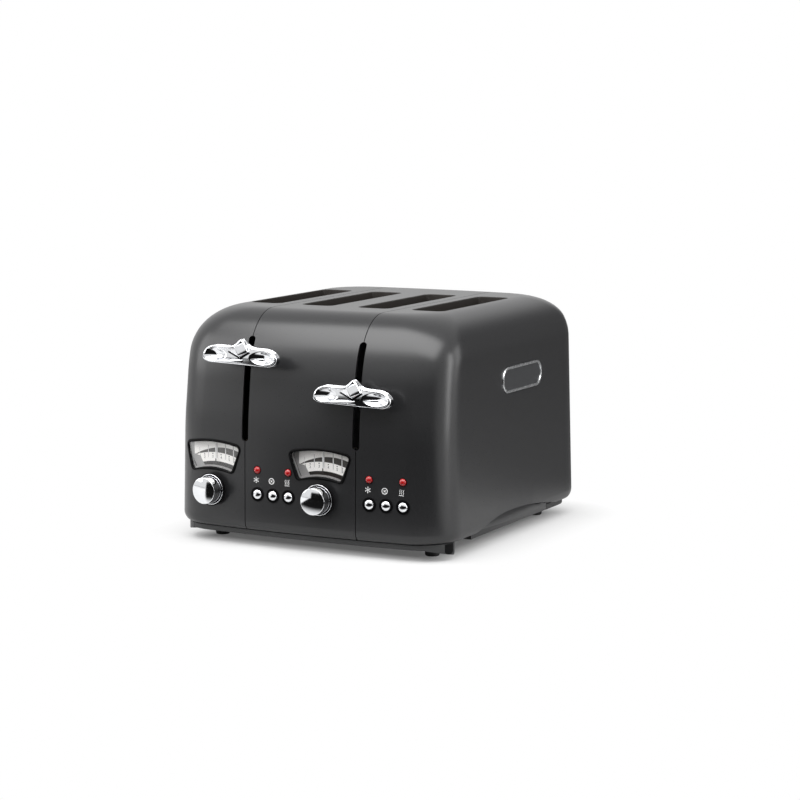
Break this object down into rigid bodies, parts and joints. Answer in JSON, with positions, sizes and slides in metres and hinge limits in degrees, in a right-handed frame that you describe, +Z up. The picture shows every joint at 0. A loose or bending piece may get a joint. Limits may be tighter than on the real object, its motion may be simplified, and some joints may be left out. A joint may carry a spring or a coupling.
{
  "type": "toaster",
  "caption": "Wide toaster with long bread slots in a rounded dark body, chrome lift levers in front slits, gauge windows, knobs, push buttons and side crumb trays.",
  "frame": {"origin": "on the floor under the middle of the whole toaster, levers and knobs included", "axes": "+X to the toaster's right seen from the front, +Y to its back, +Z up"},
  "size_m": [0.3018, 0.354, 0.2293],
  "materials": {
    "housing": "dark grey satin enamel",
    "base": "black moulded",
    "foot": "matt black",
    "tray": "dark coated",
    "knob": "polished",
    "button": "polished",
    "collar": "black",
    "lamp": "deep red, clear",
    "bezel": "black",
    "lens": "clear",
    "dial": "printed white",
    "needle": "pale grey",
    "badge": "satin rim, bare face",
    "lever": "polished",
    "carriage": "plain",
    "rod": "ground",
    "spring": "wire",
    "plate": "plain sheet",
    "heater": "mica sheet with ribbon",
    "guard": "bright wire",
    "board": "green lacquer",
    "inlet": "black"
  },
  "bodies": {
    "frame": {"housing_left": "housing", "housing_middle": "housing", "housing_right": "housing", "base_pan": "base", "foot_front_left": "foot", "foot_rear_left": "foot", "foot_front_right": "foot", "foot_rear_right": "foot", "button_collars_left": "collar", "lamp_defrost_left": "lamp", "lamp_warm_left": "lamp", "gauge_bezel_left": "bezel", "gauge_lens_left": "lens", "gauge_dial_left": "dial", "button_collars_right": "collar", "lamp_defrost_right": "lamp", "lamp_warm_right": "lamp", "gauge_bezel_right": "bezel", "gauge_lens_right": "lens", "gauge_dial_right": "dial", "badge_plate": "badge", "guide_rod_left": "rod", "lift_spring_left": "spring", "guide_rod_right": "rod", "lift_spring_right": "spring", "chamber_plate_front": "plate", "chamber_plate_rear": "plate", "heater_outer_left": "heater", "heater_centre_left": "heater", "heater_inner_left": "heater", "heater_inner_right": "heater", "heater_centre_right": "heater", "heater_outer_right": "heater", "control_board_left": "board", "control_board_right": "board", "cord_inlet": "inlet"},
    "lift_left": {"carriage_left": "carriage", "lever_left": "lever"},
    "knob_left": {"knob_left": "knob"},
    "needle_left": {"gauge_needle_left": "needle"},
    "button_defrost_left": {"button_defrost_left": "button"},
    "button_cancel_left": {"button_cancel_left": "button"},
    "button_warm_left": {"button_warm_left": "button"},
    "tray_left": {"crumb_tray_left": "tray"},
    "guards_left_left": {"guard_left_slot_left_side_left": "guard", "guard_right_slot_left_side_left": "guard"},
    "guards_right_left": {"guard_left_slot_right_side_left": "guard", "guard_right_slot_right_side_left": "guard"},
    "lift_right": {"carriage_right": "carriage", "lever_right": "lever"},
    "knob_right": {"knob_right": "knob"},
    "needle_right": {"gauge_needle_right": "needle"},
    "button_defrost_right": {"button_defrost_right": "button"},
    "button_cancel_right": {"button_cancel_right": "button"},
    "button_warm_right": {"button_warm_right": "button"},
    "tray_right": {"crumb_tray_right": "tray"},
    "guards_left_right": {"guard_left_slot_left_side_right": "guard", "guard_right_slot_left_side_right": "guard"},
    "guards_right_right": {"guard_left_slot_right_side_right": "guard", "guard_right_slot_right_side_right": "guard"}
  },
  "joints": [
    {"name": "lift_left_slide", "type": "slide", "parent": "frame", "child": "lift_left", "axis": [0, 0, 1], "range_m": [-0.078, 0], "stiffness_N_per_m": 60, "springref_m": 0.05, "deforming": ["lift_spring_left"]},
    {"name": "knob_left_turn", "type": "hinge", "parent": "frame", "child": "knob_left", "pos_m": [-0.0981, -0.15442, 0.0545], "axis": [-0.0606, -0.998, 0.0189], "range_deg": [-135, 135]},
    {"name": "needle_left_turn", "type": "hinge", "parent": "frame", "child": "needle_left", "pos_m": [-0.0981, -0.15442, 0.0545], "axis": [-0.0606, -0.9982, 0], "range_deg": [-30, 30]},
    {"name": "button_defrost_left_press", "type": "slide", "parent": "frame", "child": "button_defrost_left", "axis": [0.0288, 0.9994, -0.0189], "range_m": [0, 0.0012], "stiffness_N_per_m": 400, "springref_m": -0.0015},
    {"name": "button_cancel_left_press", "type": "slide", "parent": "frame", "child": "button_cancel_left", "axis": [0.018, 0.9997, -0.0189], "range_m": [0, 0.0012], "stiffness_N_per_m": 400, "springref_m": -0.0015},
    {"name": "button_warm_left_press", "type": "slide", "parent": "frame", "child": "button_warm_left", "axis": [0.0072, 0.9998, -0.0189], "range_m": [0, 0.0012], "stiffness_N_per_m": 400, "springref_m": -0.0015},
    {"name": "tray_left_pull", "type": "slide", "parent": "frame", "child": "tray_left", "axis": [-1, 0, 0], "range_m": [0, 0.125]},
    {"name": "guards_left_left_slide", "type": "slide", "parent": "frame", "child": "guards_left_left", "axis": [1, 0, 0], "range_m": [-0.00001, 0.00401]},
    {"name": "guards_right_left_slide", "type": "slide", "parent": "frame", "child": "guards_right_left", "axis": [1, 0, 0], "range_m": [-0.00401, 0.00001]},
    {"name": "lift_right_slide", "type": "slide", "parent": "frame", "child": "lift_right", "axis": [0, 0, 1], "range_m": [-0.046, 0.032], "stiffness_N_per_m": 60, "springref_m": 0.035, "deforming": ["lift_spring_right"]},
    {"name": "knob_right_turn", "type": "hinge", "parent": "frame", "child": "knob_right", "pos_m": [0.0241, -0.15721, 0.0545], "axis": [0.0149, -0.9997, 0.0189], "range_deg": [-135, 135]},
    {"name": "needle_right_turn", "type": "hinge", "parent": "frame", "child": "needle_right", "pos_m": [0.0241, -0.15721, 0.0545], "axis": [0.0149, -0.9999, 0], "range_deg": [-30, 30]},
    {"name": "button_defrost_right_press", "type": "slide", "parent": "frame", "child": "button_defrost_right", "axis": [-0.0467, 0.9987, -0.0189], "range_m": [0, 0.0012], "stiffness_N_per_m": 400, "springref_m": -0.0015},
    {"name": "button_cancel_right_press", "type": "slide", "parent": "frame", "child": "button_cancel_right", "axis": [-0.0575, 0.9982, -0.0189], "range_m": [0, 0.0012], "stiffness_N_per_m": 400, "springref_m": -0.0015},
    {"name": "button_warm_right_press", "type": "slide", "parent": "frame", "child": "button_warm_right", "axis": [-0.0682, 0.9975, -0.0189], "range_m": [0, 0.0012], "stiffness_N_per_m": 400, "springref_m": -0.0015},
    {"name": "tray_right_pull", "type": "slide", "parent": "frame", "child": "tray_right", "axis": [1, 0, 0], "range_m": [0, 0.125]},
    {"name": "guards_left_right_slide", "type": "slide", "parent": "frame", "child": "guards_left_right", "axis": [1, 0, 0], "range_m": [-0.00279, 0.00401]},
    {"name": "guards_right_right_slide", "type": "slide", "parent": "frame", "child": "guards_right_right", "axis": [1, 0, 0], "range_m": [-0.00401, 0.00279]}
  ],
  "couplings": [
    {"joint": "needle_left_turn", "follows": "knob_left_turn", "ratio": 0.2222},
    {"joint": "guards_left_left_slide", "follows": "lift_left_slide", "ratio": -0.051282},
    {"joint": "guards_right_left_slide", "follows": "lift_left_slide", "ratio": 0.051282},
    {"joint": "needle_right_turn", "follows": "knob_right_turn", "ratio": 0.2222},
    {"joint": "guards_left_right_slide", "follows": "lift_right_slide", "ratio": -0.086957},
    {"joint": "guards_right_right_slide", "follows": "lift_right_slide", "ratio": 0.086957}
  ]
}
